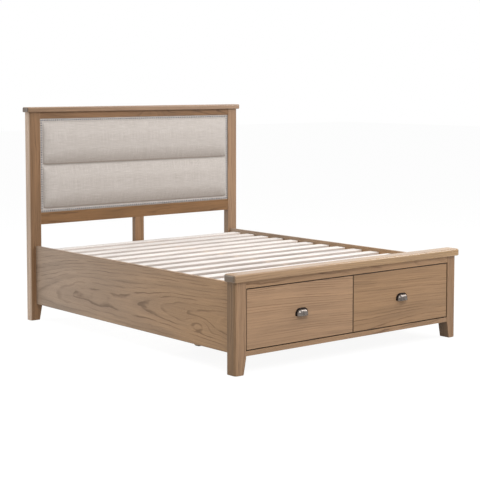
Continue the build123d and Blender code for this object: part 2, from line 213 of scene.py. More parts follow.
def make_arris_wear_and_shading():
    """A mask along the arrises of a board, from the second smallest distance to its box."""
    tree, given, made = effect(
        "arris_wear_and_shading", {"Position": "Vector", "Low": "Vector", "High": "Vector", "Width": "Float"}, ["Mask"],
    )
    inside = vectors(tree, "SUBTRACT", given["Position"], given["Low"])
    outside = vectors(tree, "SUBTRACT", given["High"], given["Position"])
    near = add(tree, "ShaderNodeSeparateXYZ", {0: vectors(tree, "MINIMUM", inside, outside)}).outputs
    least = maths(tree, "MINIMUM", near[0], near[1])
    most = maths(tree, "MAXIMUM", near[0], near[1])
    second = maths(tree, "MAXIMUM", least, maths(tree, "MINIMUM", most, near[2]))
    ragged = maths(tree, "SUBTRACT", noise(tree, given["Position"], ragged_stretch, 4.0)["Fac"], 0.5)
    second = maths(tree, "MULTIPLY_ADD", ragged, given["Width"], second)
    wear_and_shading_mix = maths(tree, "SUBTRACT", 1.0, maths(tree, "DIVIDE", second, given["Width"]))
    tree.links.new(ramp(tree, wear_and_shading_mix, 0.0, full_arris_mix), made["Mask"])
    return tree


timber_figure = make_timber_figure()
arris_wear_and_shading = make_arris_wear_and_shading()


def bare_material(name):
    """A new material with nothing in it but its output."""
    material = bpy.data.materials.new(name)
    material.use_nodes = True
    material.node_tree.nodes.clear()
    add(material.node_tree, "ShaderNodeOutputMaterial")
    return material, material.node_tree


def finish_surface(tree, colour, roughness, height, depth, settings=None):
    """The surface's own shader, with its colour, roughness and bump."""
    bump = add(tree, "ShaderNodeBump", {"Height": height, "Strength": 0.6, "Distance": depth})
    inputs = {"Base Color": colour, "Roughness": roughness, "Normal": bump.outputs["Normal"]}
    shader = add(tree, "ShaderNodeBsdfPrincipled", inputs | (settings or {}))
    tree.links.new(shader.outputs[0], tree.nodes["Material Output"].inputs["Surface"])


def placed(tree, group, inputs):
    """A shader group with its own values in a material, and its outputs."""
    return add(tree, "ShaderNodeGroup", inputs, node_tree=group).outputs


# How the figure darkens, dulls and dents a board. The shades multiply the board's stain.
band_share = 0.4
patch_share = 0.3
streak_share = 0.3
dark_shade = (0.78, 0.78, 0.78, 1.0)
pale_shade = (1.22, 1.22, 1.22, 1.0)
mark_shade = (0.28, 0.22, 0.17, 1.0)
end_shade = (0.28, 0.30, 0.33, 1.0)
pore_share = 0.45
end_share = 0.9
end_facing = (0.35, 0.95)
flank_facing = (0.35, 0.9)
patch_dulling = 0.1
pore_dulling = 0.25
line_dent = 0.4
grain_depth = 0.0004
arris_width = 0.005


def board_stain_and_shading(tree, axes, normal, order, length, stain, far, flank):
    """The stain, changed towards the board's far end (a painted sheen on the side rails) and on its flanks
    (mostly painted shade, and painted light on one post).
    """
    colour = paint(*stain)
    if far:
        reach = ramp(tree, axes[order[0]], -0.5 * length, 0.5 * length)
        colour = blend_colour(tree, reach, colour, paint(*far))
    if flank:
        looking = ramp(tree, maths(tree, "ABSOLUTE", normal[order[1]]), *flank_facing)
        colour = blend_colour(tree, looking, colour, paint(*flank))
    return colour


def board_shade(tree, figure, end_normal, marks):
    """What the figure and the end grain do to the stain."""
    tone = maths(tree, "MULTIPLY", figure["Patches"], patch_share)
    tone = maths(tree, "MULTIPLY_ADD", figure["Bands"], band_share, tone)
    tone = maths(tree, "MULTIPLY_ADD", figure["Streaks"], streak_share, tone)
    shade = blend_colour(tree, tone, dark_shade, pale_shade)
    pores = maths(tree, "MULTIPLY", figure["Pores"], pore_share)
    marked = maths(tree, "MAXIMUM", maths(tree, "MAXIMUM", figure["Lines"], pores), figure["Knots"])
    shade = blend_colour(tree, maths(tree, "MULTIPLY", marked, marks), shade, mark_shade)
    end_grain = ramp(tree, maths(tree, "ABSOLUTE", end_normal), *end_facing, 0.0, end_share)
    return blend_colour(tree, end_grain, shade, end_shade)


def timber(name, order, box, stain, heart, seed, far=None, flank=None, lean=(0.0, 0.01, 0.02), wander=0.06,
           pitch=0.008, marks=0.7, gloss=0.42, wear_and_shading=0.3, arris=1.5, coat=0.0):
    """A board's material. order names the axes along the grain, across the face and through it.

    far is the colour at the board's far end: a stain, or on the side rails a painted sheen. flank is the
    colour on the faces that look across it: painted shade on the posts, the foot's bottom rail and the
    drawer fronts, painted light on the head post at the left, partly painted shade on the slats, and
    plain darker on the centre post.
    """
    material, tree = bare_material(name)
    coordinates = add(tree, "ShaderNodeTexCoord").outputs
    position = coordinates["Object"]
    centre, length = (box[0] + box[1]) / 2, (box[1] - box[0])[order[0]]
    axes = add(tree, "ShaderNodeSeparateXYZ", {0: vectors(tree, "SUBTRACT", position, centre)}).outputs
    board = add(tree, "ShaderNodeCombineXYZ", {place: axes[axis] for place, axis in enumerate(order)})
    figure = placed(tree, timber_figure, {
        "Board": board.outputs[0], "Heart": (0.0, *heart), "Lean": lean, "Wander": wander,
        "Pitch": pitch, "Seed": seed,
    })
    # The arrises are mixed to the arris tone: over 1 they are lighter, partly rubbed and partly a painted
    # highlight; under 1 they are darker, with painted shade along the drawer fronts' gaps.
    edges = {"Position": position, "Low": box[0], "High": box[1], "Width": arris_width}
    wear_and_shading_mix = maths(tree, "MULTIPLY", placed(tree, arris_wear_and_shading, edges)["Mask"], wear_and_shading)
    normal = add(tree, "ShaderNodeSeparateXYZ", {0: coordinates["Normal"]}).outputs
    shade = board_shade(tree, figure, normal[order[0]], marks)
    shade = blend_colour(tree, wear_and_shading_mix, shade, (arris, arris, arris, 1.0))
    stain_and_shading = board_stain_and_shading(tree, axes, normal, order, length, stain, far, flank)
    colour = blend_colour(tree, 1.0, stain_and_shading, shade, "MULTIPLY")
    roughness = maths(tree, "MULTIPLY_ADD", figure["Patches"], patch_dulling, gloss)
    roughness = maths(tree, "MULTIPLY_ADD", figure["Pores"], pore_dulling, roughness)
    sunk = maths(tree, "MULTIPLY_ADD", figure["Lines"], line_dent, figure["Pores"])
    lacquer = {"Specular IOR Level": 0.3, "Coat Weight": coat, "Coat Roughness": 0.2}
    finish_surface(tree, colour, roughness, maths(tree, "SUBTRACT", 1.0, sunk), grain_depth, lacquer)
    return material


def dress(node, material):
    """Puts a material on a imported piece."""
    for material_slot in nodes[node].material_slots:
        material_slot.material = material


# Each post's stain, then the colour of its side faces: painted shade on three posts, and painted
# light on the head post at the left
post_stains_and_shading = {
    "footboard_post_left": ((158, 126, 97), (122, 96, 70)),
    "footboard_post_right": ((152, 120, 91), (114, 90, 66)),
    "headboard_post_left": ((130, 99, 71), (188, 165, 145)),
    "headboard_post_right": ((154, 123, 96), (136, 112, 90)),
}
post_heart = 0.05
post_heart_step = 0.01
for number, (post, (stain, flank)) in enumerate(post_stains_and_shading.items()):
    heart = (post_heart * (-1) ** number, -post_heart - post_heart_step * number)
    material = timber(f"oak_{post}", (2, 0, 1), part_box(post), stain, heart, seed=3.7 + 2.1 * number,
                      flank=flank, wander=0.12, pitch=0.010, marks=0.8)
    dress(post, material)

# Caps
# Moulded oak boards that lie on the posts and run past them, rounded over the top and bevelled
# underneath. Each is one board, so its grain runs right across and shows as end grain at the ends.
cap_stains = {
    "footboard_cap": ((157, 125, 92), (173, 139, 99)),
    "headboard_cap": ((134, 104, 76), (150, 120, 94)),
}
cap_heart = (0.03, -0.08)
for number, (cap, (stain, far)) in enumerate(cap_stains.items()):
    material = timber(f"oak_{cap}", (0, 1, 2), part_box(cap), stain, cap_heart, seed=11.3 + number,
                      far=far, coat=0.6)
    dress(cap, material)

# Cross rails and the short centre post
# Rails tenoned between the posts, and the post that stands on the low rail between the pillars of
# the headboard. Their faces look to the foot end, so the grain runs across and the rings lie behind.
# Each rail's stain, and for the foot's bottom rail painted shade on its top and bottom faces, as in the
# shadow under the drawer fronts.
rail_stains_and_shading = {
    "footboard_top_rail": ((162, 129, 98), None), "footboard_bottom_rail": ((156, 124, 95), (104, 80, 54)),
    "headboard_top_rail": ((128, 96, 67), None), "headboard_lower_rail": ((128, 94, 61), None),
    "headboard_base_rail": ((128, 98, 70), None),
}
rail_heart = 0.02
rail_heart_depth = 0.07
for number, (rail, (stain, flank)) in enumerate(rail_stains_and_shading.items()):
    heart = (rail_heart * (-1) ** number, rail_heart_depth)
    material = timber(f"oak_{rail}", (0, 2, 1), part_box(rail), stain, heart, seed=17.1 + 2.3 * number,
                      flank=flank)
    dress(rail, material)
centre_post_stain = (138, 106, 77)
centre_post_flank = (122, 95, 70)
post_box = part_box("headboard_centre_post")
material = timber("oak_centre_post", (2, 0, 1), post_box, centre_post_stain, heart=(0.04, 0.06), seed=27.3,
                  flank=centre_post_flank)
dress("headboard_centre_post", material)

# Side rails
# Deep oak boards, flat sawn, so long loops of the growth rings run down the middle of the face. A
# painted sheen greys them towards the head end, and they are darker along the arrises.
side_rail_stain = (161, 128, 94)
side_rail_painted_sheen = (157, 136, 117)
side_rail_heart = -0.06
side_rail_heart_depth = -0.14
for side, sign in (("left", -1), ("right", 1)):
    rail = f"side_rail_{side}"
    heart = (side_rail_heart, side_rail_heart_depth * sign)
    material = timber(f"oak_{rail}", (1, 2, 0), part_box(rail), side_rail_stain, heart, seed=31.7 + sign,
                      far=side_rail_painted_sheen, lean=(0.0, 0.03, 0.06 * sign), wander=0.12, pitch=0.015,
                      marks=1.0, arris=0.5, wear_and_shading=0.7)
    dress(rail, material)

# Upholstery panel and its linen
# A plain board let into the headboard's frame, with linen stretched over its front. The linen shows
# as a flat border round the two channels, where the row of studs holds it.
panel_stain = (160, 130, 98)
panel_low, panel_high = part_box("headboard_panel")
panel_material = timber("panel_board", (0, 2, 1), (panel_low, panel_high), panel_stain, heart=(0.0, 0.4),
                        seed=37.0, marks=0.3, gloss=0.6, wear_and_shading=0.1)
dress("headboard_panel", panel_material)
opening_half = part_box("headboard_post_right")[0].x
opening_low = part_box("headboard_lower_rail")[1].z
opening_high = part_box("headboard_top_rail")[0].z
linen_thickness = 0.0012
linen_face = panel_low.y - linen_thickness
linen_margin = 0.0005

# The weave, with stretches in features to a metre along U and V
yarn_bend_stretch = (60.0, 60.0, 60.0)
yarn_bend = (0.0016, 0.0016, 0.0)
level_slub_stretch = (12.0, 420.0, 1.0)
level_slub_levels = (0.35, 0.7)
level_slub_share = 0.55
upright_slub_stretch = (420.0, 9.0, 1.0)
upright_slub_levels = (0.4, 0.75)
upright_slub_share = 0.45
fuzz_stretch = (1500.0, 1500.0, 1.0)


def make_linen_weave():
    """Plain weave of slubby yarns on a surface's own U and V, in metres."""
    tree, given, made = effect(
        "linen_weave", {"Cloth": "Vector", "Yarn": "Float", "Seed": "Float"}, ["Height", "Slubs", "Fuzz"],
    )
    seeds = add(tree, "ShaderNodeCombineXYZ", {axis: given["Seed"] for axis in "XYZ"}).outputs[0]
    place = vectors(tree, "ADD", given["Cloth"], seeds)
    bend = vectors(tree, "SUBTRACT", noise(tree, place, yarn_bend_stretch)["Color"], (0.5, 0.5, 0.5))
    bent = vectors(tree, "ADD", place, vectors(tree, "MULTIPLY", bend, yarn_bend))
    across, up, _ = add(tree, "ShaderNodeSeparateXYZ", {0: bent}).outputs
    warp = maths(tree, "DIVIDE", across, given["Yarn"])
    weft = maths(tree, "DIVIDE", up, given["Yarn"])
    odd = maths(tree, "ADD", maths(tree, "FLOOR", warp), maths(tree, "FLOOR", weft))
    odd = maths(tree, "FLOORED_MODULO", odd, 2.0)
    round_warp = maths(tree, "SINE", maths(tree, "MULTIPLY", maths(tree, "FRACT", warp), pi))
    round_weft = maths(tree, "SINE", maths(tree, "MULTIPLY", maths(tree, "FRACT", weft), pi))
    over = add(tree, "ShaderNodeMix", {0: odd, 2: round_warp, 3: round_weft}, data_type="FLOAT").outputs[0]
    tree.links.new(over, made["Height"])
    level = ramp(tree, noise(tree, place, level_slub_stretch, 3.0)["Fac"], *level_slub_levels)
    upright = ramp(tree, noise(tree, place, upright_slub_stretch, 3.0)["Fac"], *upright_slub_levels)
    slubs = maths(tree, "MULTIPLY", level, level_slub_share)
    slubs = maths(tree, "MULTIPLY_ADD", upright, upright_slub_share, slubs)
    tree.links.new(slubs, made["Slubs"])
    tree.links.new(noise(tree, place, fuzz_stretch)["Fac"], made["Fuzz"])
    return tree


linen_weave = make_linen_weave()
yarn_width = 0.0011
yarn_dark = (182, 174, 167)
yarn_light = (213, 206, 201)
yarn_gap = (152, 142, 134)
gap_share = 0.5
fuzz_dulling = 0.15
fuzz_height = 0.2
weave_depth = 0.0004

# Painted shade darkens the linen above a channel's lower seam, in a wide band and a close one. V
# starts at the seam on the channels, and is the height above the floor on the border, which neither
# band reaches.
seam_shadow = (122, 107, 94)
wide_band_end = 0.10
wide_band_share = 0.38
close_band = (0.010, 0.02)
close_band_share = 0.6


def linen(name, seed):
    """Oatmeal linen: light and dark yarns in a plain weave, with a soft nap and painted shade above the lower
    seam.
    """
    material, tree = bare_material(name)
    cloth = add(tree, "ShaderNodeUVMap", uv_map="cloth").outputs[0]
    weave = placed(tree, linen_weave, {"Cloth": cloth, "Yarn": yarn_width, "Seed": seed})
    colour = blend_colour(tree, weave["Slubs"], paint(*yarn_dark), paint(*yarn_light))
    gaps = maths(tree, "MULTIPLY", maths(tree, "SUBTRACT", 1.0, weave["Height"]), gap_share)
    colour = blend_colour(tree, gaps, colour, paint(*yarn_gap))
    from_seam = add(tree, "ShaderNodeSeparateXYZ", {0: cloth}).outputs[1]
    wide = ramp(tree, from_seam, 0.0, wide_band_end, wide_band_share, 0.0)
    close = ramp(tree, from_seam, *close_band, close_band_share, 0.0)
    colour = blend_colour(tree, maths(tree, "MAXIMUM", wide, close), colour, paint(*seam_shadow))
    roughness = maths(tree, "MULTIPLY_ADD", weave["Fuzz"], fuzz_dulling, 0.8)
    height = maths(tree, "MULTIPLY_ADD", weave["Fuzz"], fuzz_height, weave["Height"])
    nap = {"Sheen Weight": 0.25, "Sheen Roughness": 0.5, "Specular IOR Level": 0.25}
    finish_surface(tree, colour, roughness, height, weave_depth, nap)
    return material


def mesh_piece(name, points, faces, material, uvs=None, smooth=True):
    """A piece from points and faces, with the cloth's own U and V at each point if given."""
    mesh = bpy.data.meshes.new(name)
    mesh.from_pydata(points, [], faces)
    mesh.materials.append(material)
    mesh.polygons.foreach_set("use_smooth", [smooth] * len(mesh.polygons))
    if uvs is not None:
        layer = mesh.uv_layers.new(name="cloth")
        for loop in mesh.loops:
            layer.data[loop.index].uv = uvs[loop.vertex_index]
    piece = bpy.data.objects.new(name, mesh)
    bpy.context.scene.collection.objects.link(piece)
    return piece


sheet_columns = 160
sheet_rows = 64
sheet_back = panel_low.y - 0.0001
most_sag = 0.0002


def sheet_faces():
    """The faces of the sheet's front, its back and the narrow rim that joins them."""
    stride = sheet_columns + 1
    layer = stride * (sheet_rows + 1)
    faces = []
    for row in range(sheet_rows):
        for column in range(sheet_columns):
            corner = row * stride + column
            face = (corner, corner + 1, corner + stride + 1, corner + stride)
            faces.append(face)
            faces.append(tuple(layer + place for place in reversed(face)))
    rim = list(range(sheet_columns))
    rim += [row * stride + sheet_columns for row in range(sheet_rows)]
    rim += [sheet_rows * stride + column for column in range(sheet_columns, 0, -1)]
    rim += [row * stride for row in range(sheet_rows, 0, -1)]
    for first, second in zip(rim, rim[1:] + rim[:1]):
        faces.append((second, first, first + layer, second + layer))
    return faces


def linen_sheet():
    """A thin closed sheet over the panel's front, drawn down a little all over."""
    half = opening_half - linen_margin
    low, high = opening_low + linen_margin, opening_high - linen_margin
    draws = Random(5)
    points, uvs = [], []
    for y in (linen_face, sheet_back):
        for row in range(sheet_rows + 1):
            z = low + (high - low) * row / sheet_rows
            for column in range(sheet_columns + 1):
                x = -half + 2 * half * column / sheet_columns
                sag = draws.uniform(0, most_sag) if y == linen_face else 0
                points.append((x, y + sag, z))
                uvs.append((x, z))
    return mesh_piece("headboard_linen", points, sheet_faces(), linen("linen_border", 1.3), uvs)


border = linen_sheet()
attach(border, "bed_frame")

# Stuffed channels
# Two long linen channels over foam, sewn to the panel round their edges and blown full by the
# stuffing, so the linen is drawn in along the seam between them and gathers a little beside it.
channel_fullness = 0.80
channel_roll = 0.048
roll_curve = 2.4
drawn_in = 0.006
seam_gap = 0.006
seam_lift = 0.0002
edge_thickness = 0.08
face_curve = 0.85
rise_curve = 0.8
crown_fall = 0.10
face_steps = 34
roll_steps = 8
middle_steps = 178


def swell_at(distance):
    """How full a channel is at a distance from its end, from nothing to 1."""
    if distance >= channel_roll:
        return 1.0
    return max(0.0, 1 - (1 - distance / channel_roll) ** roll_curve) ** 0.5


def channel_stations(half):
    """Where the sections stand, closer together where the channel's ends roll over."""
    fine = [channel_roll * (1 - cos(pi / 2 * step / roll_steps)) for step in range(roll_steps + 1)]
    inner = half - channel_roll
    coarse = [-inner + 2 * inner * step / middle_steps for step in range(1, middle_steps)]
    return [-half + step for step in fine] + coarse + [half - step for step in reversed(fine)]


def channel_section(x, low, high):
    """One section's points, from the lower seam over the face to the upper seam."""
    middle, height = (low.z + high.z) / 2, high.z - low.z
    back = linen_face - seam_lift
    swell = swell_at(high.x - abs(x))
    reach = height / 2 - seam_gap / 2 - drawn_in * (1 - swell)
    thick = channel_fullness * (back - low.y) * (edge_thickness + (1 - edge_thickness) * swell)
    section = []
    for step in range(face_steps + 1):
        turn = pi * step / face_steps
        side = -cos(turn)
        rise = (abs(side) ** rise_curve) * (1 if side > 0 else -1)
        out = sin(turn) ** face_curve if 0 < step < face_steps else 0.0
        crown = 1 - crown_fall * rise ** 2
        section.append(Vector((x, back - thick * out * crown, middle + reach * rise)))
    return section


def channel_uvs(sections):
    """U along the channel, and V as the length of linen from the lower seam."""
    uvs = []
    for section in sections:
        length = 0.0
        for place, point in enumerate(section):
            if place:
                length += (point - section[place - 1]).length
            uvs.append((point.x, length))
    return uvs


def channel_mesh(name, low, high, material):
    """A closed channel, its sewn edges and ends pinned and its face free to swell."""
    sections = [channel_section(x, low, high) for x in channel_stations(high.x)]
    around = len(sections[0])
    points = [tuple(point) for section in sections for point in section]
    faces = []
    for row in range(len(sections) - 1):
        start, following = row * around, (row + 1) * around
        for place in range(around - 1):
            corner = start + place
            faces.append((corner, corner + around, corner + around + 1, corner + 1))
        faces.append((start + around - 1, following + around - 1, following, start))
    last = (len(sections) - 1) * around
    faces.append(tuple(range(around)))
    faces.append(tuple(last + place for place in reversed(range(around))))
    piece = mesh_piece(name, points, faces, material, channel_uvs(sections))
    seams = (0, 1, around - 2, around - 1)
    held = [row * around + edge for row in range(len(sections)) for edge in seams]
    held += list(range(around)) + list(range(last, last + around))
    piece.vertex_groups.new(name="sewn").add(sorted(set(held)), 1.0, "REPLACE")
    return piece


stuffing_frames = 20


def blow_full(piece, most):
    """Lets the linen swell under the stuffing's pressure, no further than the most given."""
    start = [vertex.co.copy() for vertex in piece.data.vertices]
    cloth = piece.modifiers.new("stuffing", "CLOTH")
    cloth.settings.quality = 6
    cloth.settings.mass = 0.35
    cloth.settings.tension_stiffness = 25
    cloth.settings.bending_stiffness = 0.4
    cloth.settings.use_pressure = True
    cloth.settings.uniform_pressure_force = 4
    cloth.settings.vertex_group_mass = "sewn"
    cloth.settings.effector_weights.gravity = 0
    cloth.point_cache.frame_end = stuffing_frames
    scene = bpy.context.scene
    for number in range(1, stuffing_frames + 1):
        scene.frame_set(number)
    shape = piece.evaluated_get(bpy.context.evaluated_depsgraph_get()).to_mesh()
    moved = [vertex.co.copy() for vertex in shape.vertices]
    piece.modifiers.remove(cloth)
    for vertex, rest, place in zip(piece.data.vertices, start, moved):
        shift = place - rest
        if shift.length > most:
            shift *= most / shift.length
        vertex.co = rest + shift
    scene.frame_set(1)


pucker_lengths = (0.03, 0.07)
seam_pucker = 0.0022
seam_pucker_reach = 0.07
end_pucker = 0.0016
end_pucker_reach = 0.09
flat_edge = 0.002
free_depth = 0.01
most_bulge = 0.006


def pucker(waves, size, along, away, reach):
    """How far the linen is drawn in at one place along a seam, fading away from it."""
    fade = max(0.0, 1 - away / reach) ** 2
    ripple = sum(sin(2 * pi * along / length + turn) for length, turn in waves) / len(waves)
    return size * fade * ripple


def gather(piece, low, high, seed):
    """Small puckers in the linen, square to the seams and fading away from them."""
    draws = Random(seed)
    waves = [(draws.uniform(*pucker_lengths), draws.uniform(0, 2 * pi)) for _ in range(4)]
    for vertex in piece.data.vertices:
        x, y, z = vertex.co
        if y > linen_face - flat_edge:
            continue
        free = min(1.0, (linen_face - y) / free_depth)
        for edge in (low.z, high.z):
            vertex.co.y += pucker(waves, seam_pucker, x, abs(z - edge), seam_pucker_reach) * free
        for end in (low.x, high.x):
            vertex.co.y += pucker(waves, end_pucker, z, abs(x - end), end_pucker_reach) * free
        vertex.co.y = max(vertex.co.y, low.y - most_bulge)


upper_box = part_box("headboard_pad_upper")
lower_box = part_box("headboard_pad_lower")
upper = channel_mesh("headboard_channel_upper", *upper_box, linen("linen_upper", 4.1))
blow_full(upper, most_bulge)
lower = bpy.data.objects.new("headboard_channel_lower", upper.data.copy())
bpy.context.scene.collection.objects.link(lower)
lower.data.transform(Matrix.Translation((0, 0, lower_box[0].z - upper_box[0].z)))
lower.data.materials[0] = linen("linen_lower", 7.9)
channels = (
    (upper, upper_box, "headboard_pad_upper", 3),
    (lower, lower_box, "headboard_pad_lower", 8),
)
for piece, box, node, seed in channels:
    gather(piece, *box, seed)
    smooth = piece.modifiers.new("smooth", "SUBSURF")
    smooth.levels = smooth.render_levels = 1
    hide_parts(node)
    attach(piece, "bed_frame")

# Studs
# A close row of domed upholstery nails in antique pewter, driven through the linen into the panel
# all round the channels.
cloud_stretch = (60.0, 60.0, 60.0)
cloud_levels = (0.35, 0.7)
cloud_share = 0.4
plated_grain = (900.0, 900.0, 900.0)
grain_share = 0.4
cloud_dulling = 0.1
grain_dulling = 0.12
plating_depth = 0.0001


def metal(name, bright, dull, gloss, grain=plated_grain, shaded_depths=None):
    """Plated metal with a fine grain and dulled patches, and painted shade from one depth to another if
    given.
    """
    material, tree = bare_material(name)
    position = add(tree, "ShaderNodeTexCoord").outputs["Object"]
    cloudy = ramp(tree, noise(tree, position, cloud_stretch, 3.0)["Fac"], *cloud_levels)
    fine = noise(tree, position, grain, 3.0)["Fac"]
    dulling_and_shade = maths(tree, "MULTIPLY_ADD", fine, grain_share, maths(tree, "MULTIPLY", cloudy, cloud_share))
    if shaded_depths:
        depth = add(tree, "ShaderNodeSeparateXYZ", {0: position}).outputs[1]
        dulling_and_shade = maths(tree, "MAXIMUM", dulling_and_shade, ramp(tree, depth, *shaded_depths))
    colour = blend_colour(tree, dulling_and_shade, bright, dull)
    roughness = maths(tree, "MULTIPLY_ADD", cloudy, cloud_dulling, gloss)
    roughness = maths(tree, "MULTIPLY_ADD", fine, grain_dulling, roughness)
    finish_surface(tree, colour, roughness, fine, plating_depth, {"Metallic": 1.0})
    return material


def pattern(name, **inputs):
    """An empty geometry tree with named inputs, each a length, a count, a vector or a material."""
    tree = bpy.data.node_groups.new(name, "GeometryNodeTree")
    for label, kind in inputs.items():
        tree.interface.new_socket(label, in_out="INPUT", socket_type=f"NodeSocket{kind}")
    tree.interface.new_socket("Geometry", in_out="OUTPUT", socket_type="NodeSocketGeometry")
    return tree, tree.nodes.new("NodeGroupInput").outputs


def close_pattern(tree, given, geometry):
    """Ends a tree with real meshes, smooth and in their own material."""
    real = add(tree, "GeometryNodeRealizeInstances", {"Geometry": geometry}).outputs[0]
    shaded = add(tree, "GeometryNodeSetShadeSmooth", {"Geometry": real}).outputs[0]
    done = add(tree, "GeometryNodeSetMaterial", {"Geometry": shaded, "Material": given["Material"]})
    output = tree.nodes.new("NodeGroupOutput")
    tree.links.new(done.outputs[0], output.inputs[0])


def run_pattern(name, tree, **values):
    """Runs a tree once and keeps what it makes as a plain mesh piece."""
    maker = bpy.data.objects.new(f"{name}_maker", bpy.data.meshes.new(name))
    bpy.context.scene.collection.objects.link(maker)
    modifier = maker.modifiers.new("pattern", "NODES")
    modifier.node_group = tree
    for socket in tree.interface.items_tree:
        if socket.in_out == "INPUT":
            modifier[socket.identifier] = values[socket.name]
    graph = bpy.context.evaluated_depsgraph_get()
    mesh = bpy.data.meshes.new_from_object(maker.evaluated_get(graph))
    bpy.data.objects.remove(maker)
    piece = bpy.data.objects.new(name, mesh)
    bpy.context.scene.collection.objects.link(piece)
    return piece


dome_rise = 0.62
least_turn = (1.5, -0.07, -0.07)
most_turn = (1.64, 0.07, 0.07)


def stud_row():
    """Domed heads at an even pitch round a rectangle, each a little askew."""
    tree, given = pattern("stud_row", Width="Float", Height="Float", Centre="Vector", Pitch="Float",
                          Diameter="Float", Material="Material")
    ring = add(tree, "GeometryNodeCurvePrimitiveQuadrilateral",
               {"Width": given["Width"], "Height": given["Height"]}).outputs[0]
    upright = add(tree, "GeometryNodeTransform",
                  {"Geometry": ring, "Translation": given["Centre"], "Rotation": (pi / 2, 0, 0)})
    spaced = add(tree, "GeometryNodeResampleCurve", {"Curve": upright.outputs[0], "Length": given["Pitch"]},
                 mode="LENGTH")
    ball = add(tree, "GeometryNodeMeshUVSphere", {"Segments": 10, "Rings": 6, "Radius": 0.5}).outputs[0]
    place = add(tree, "GeometryNodeInputPosition").outputs[0]
    x, y, z = add(tree, "ShaderNodeSeparateXYZ", {0: place}).outputs
    flat = maths(tree, "MULTIPLY", maths(tree, "MAXIMUM", z, 0.0), dome_rise)
    dome_place = add(tree, "ShaderNodeCombineXYZ", {"X": x, "Y": y, "Z": flat}).outputs[0]
    dome = add(tree, "GeometryNodeSetPosition", {"Geometry": ball, "Position": dome_place}).outputs[0]
    askew = add(tree, "FunctionNodeRandomValue", {0: least_turn, 1: most_turn, "Seed": 12},
                data_type="FLOAT_VECTOR").outputs[0]
    heads = add(tree, "GeometryNodeInstanceOnPoints",
                {"Points": spaced.outputs[0], "Instance": dome, "Rotation": askew,
                 "Scale": given["Diameter"]})
    close_pattern(tree, given, heads.outputs[0])
    return tree


stud_pitch = 0.016
stud_inset = 0.011
stud_diameter = 0.0105
centre_z = (opening_low + opening_high) / 2
stud_pewter = metal("stud_pewter", paint(150, 152, 158), paint(62, 62, 68), gloss=0.3)
studs = run_pattern(
    "headboard_studs", stud_row(), Width=2 * (opening_half - stud_inset),
    Height=opening_high - opening_low - 2 * stud_inset, Centre=(0.0, linen_face, centre_z),
    Pitch=stud_pitch, Diameter=stud_diameter, Material=stud_pewter,
)
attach(studs, "bed_frame")

# Slat ledges, centre beam, legs and glides
# Planed bare softwood that carries the slats: ledges along the side rails, a beam down the middle
# let into the headboard, and square legs that stand on pressed-in plastic glides.
pine_stain = (208, 183, 146)
pine_heart = (0.03, 0.05)
pine_orders = {
    "slat_ledge_left": (1, 2, 0), "slat_ledge_right": (1, 2, 0), "centre_beam": (1, 2, 0),
    "drawer_bay_legs": (2, 0, 1), "centre_legs": (2, 0, 1),
}
for number, (piece, order) in enumerate(pine_orders.items()):
    material = timber(f"pine_{piece}", order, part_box(piece), pine_stain, pine_heart,
                      seed=41.0 + 1.9 * number, pitch=0.004, marks=0.35, gloss=0.55, wear_and_shading=0.15)
    dress(piece, material)

spark_stretch = (2500.0, 2500.0, 2500.0)
scuff_stretch = (120.0, 120.0, 120.0)
scuff_levels = (0.5, 0.8)
scuff_share = 0.5
scuff_gain = 2.2
scuff_lift = 0.02
spark_dulling = 0.2
spark_depth = 0.0001


def plastic(name, colour, gloss):
    """Moulded plastic with a fine spark-eroded texture and paler scuffs."""
    material, tree = bare_material(name)
    position = add(tree, "ShaderNodeTexCoord").outputs["Object"]
    fine = noise(tree, position, spark_stretch)["Fac"]
    scuffed = ramp(tree, noise(tree, position, scuff_stretch, 4.0)["Fac"], *scuff_levels)
    lighter = tuple(min(1.0, scuff_gain * value + scuff_lift) for value in colour[:3]) + (1.0,)
    shade = blend_colour(tree, maths(tree, "MULTIPLY", scuffed, scuff_share), colour, lighter)
    roughness = maths(tree, "MULTIPLY_ADD", fine, spark_dulling, gloss)
    finish_surface(tree, shade, roughness, fine, spark_depth)
    return material


dress("leg_glides", plastic("glide_plastic", paint(38, 36, 34), gloss=0.45))

# Slats
# Thirteen planed pine slats, whitewashed, so their figure is only a faint pink-brown. Each is cut
# from its own place in the plank.
slat_count = 13
slat_stain = (219, 213, 208)
# slat_edge colours the slats' long edge faces darker: partly less whitewash on the sawn edges, partly painted
# shade.
slat_edge = (212, 201, 194)
slat_heart = 0.05
slat_heart_depth = -0.04
slat_heart_swing = 0.02
for number in range(slat_count):
    slat = f"slat_{number + 1:02d}"
    heart = (slat_heart * sin(2.4 * number), slat_heart_depth + slat_heart_swing * cos(1.7 * number))
    material = timber(f"pine_{slat}", (0, 1, 2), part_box(slat), slat_stain, heart, seed=53.0 + 2.3 * number,
                      flank=slat_edge, pitch=0.005, marks=0.12, gloss=0.55, wear_and_shading=0.0)
    dress(slat, material)

# Slat screws
# One countersunk cross-head screw through each end of each slat into its ledge, zinc plated. The
# head's own sizes are shares of its diameter.
head_thickness = 0.3
recess_length = 0.62
recess_width = 0.13
recess_lift = 0.2
most_spin = (0, 0, 1.5)


